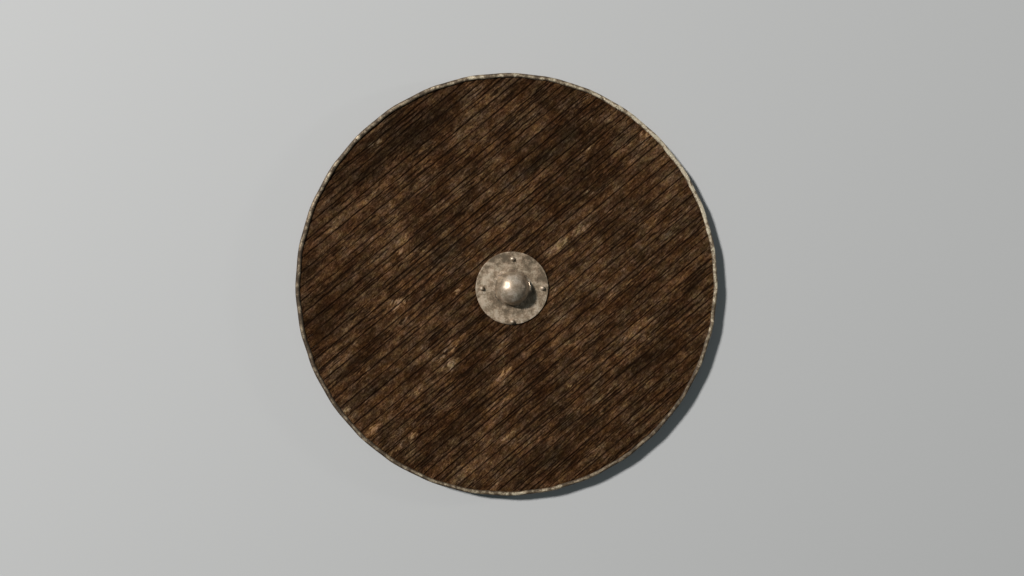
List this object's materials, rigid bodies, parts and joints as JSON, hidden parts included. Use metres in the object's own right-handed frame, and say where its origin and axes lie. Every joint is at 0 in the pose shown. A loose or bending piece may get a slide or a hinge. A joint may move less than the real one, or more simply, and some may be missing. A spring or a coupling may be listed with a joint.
{
  "type": "wooden round shield",
  "caption": "Flat round shield of narrow glued boards with a metal rim, a riveted hollow boss over the hand hole and one lath as its grip.",
  "frame": {"origin": "middle of the flat underside of the grip, under the middle of the shield, which is the bottom centre of its box", "axes": "+Z out of the face and through the boss; +X to the right and +Y up as the picture shows the face, so the boards run 39.6 degrees up from +X"},
  "size_m": [0.8776, 0.8776, 0.0706],
  "materials": {
    "boards": "dark weathered softwood boards with streaked grain, cracks and small knots, dull",
    "grip": "plain oiled ash lath, darkened and worn smooth by the hand",
    "rim": "aged iron channel, dull grey-tan with scratches and dark blotches",
    "boss": "aged iron sheet, blotchy grey-tan flange and a smoother, shinier dome",
    "rivets": "aged iron, domed heads rubbed bright on top",
    "nails": "dark forged iron"
  },
  "bodies": {
    "root": {"board_01": "boards", "board_02": "boards", "board_03": "boards", "board_04": "boards", "board_05": "boards", "board_06": "boards", "board_07": "boards", "board_08": "boards", "board_09": "boards", "board_10": "boards", "board_11": "boards", "board_12": "boards", "board_13": "boards", "board_14": "boards", "board_15": "boards", "board_16": "boards", "board_17": "boards", "board_18": "boards", "board_19": "boards", "board_20_lower": "boards", "board_20_upper": "boards", "board_21_lower": "boards", "board_21_upper": "boards", "board_22_lower": "boards", "board_22_upper": "boards", "board_23": "boards", "board_24": "boards", "board_25": "boards", "board_26": "boards", "board_27": "boards", "board_28": "boards", "board_29": "boards", "board_30": "boards", "board_31": "boards", "board_32": "boards", "board_33": "boards", "board_34": "boards", "board_35": "boards", "board_36": "boards", "board_37": "boards", "board_38": "boards", "board_39": "boards", "board_40": "boards", "board_41": "boards", "rim": "rim", "boss": "boss", "boss_rivet_right": "rivets", "boss_rivet_top": "rivets", "boss_rivet_left": "rivets", "boss_rivet_bottom": "rivets", "grip": "grip", "grip_nail_1": "nails", "grip_nail_2": "nails", "grip_nail_3": "nails", "grip_nail_4": "nails", "grip_nail_5": "nails", "grip_nail_6": "nails"}
  },
  "joints": []
}
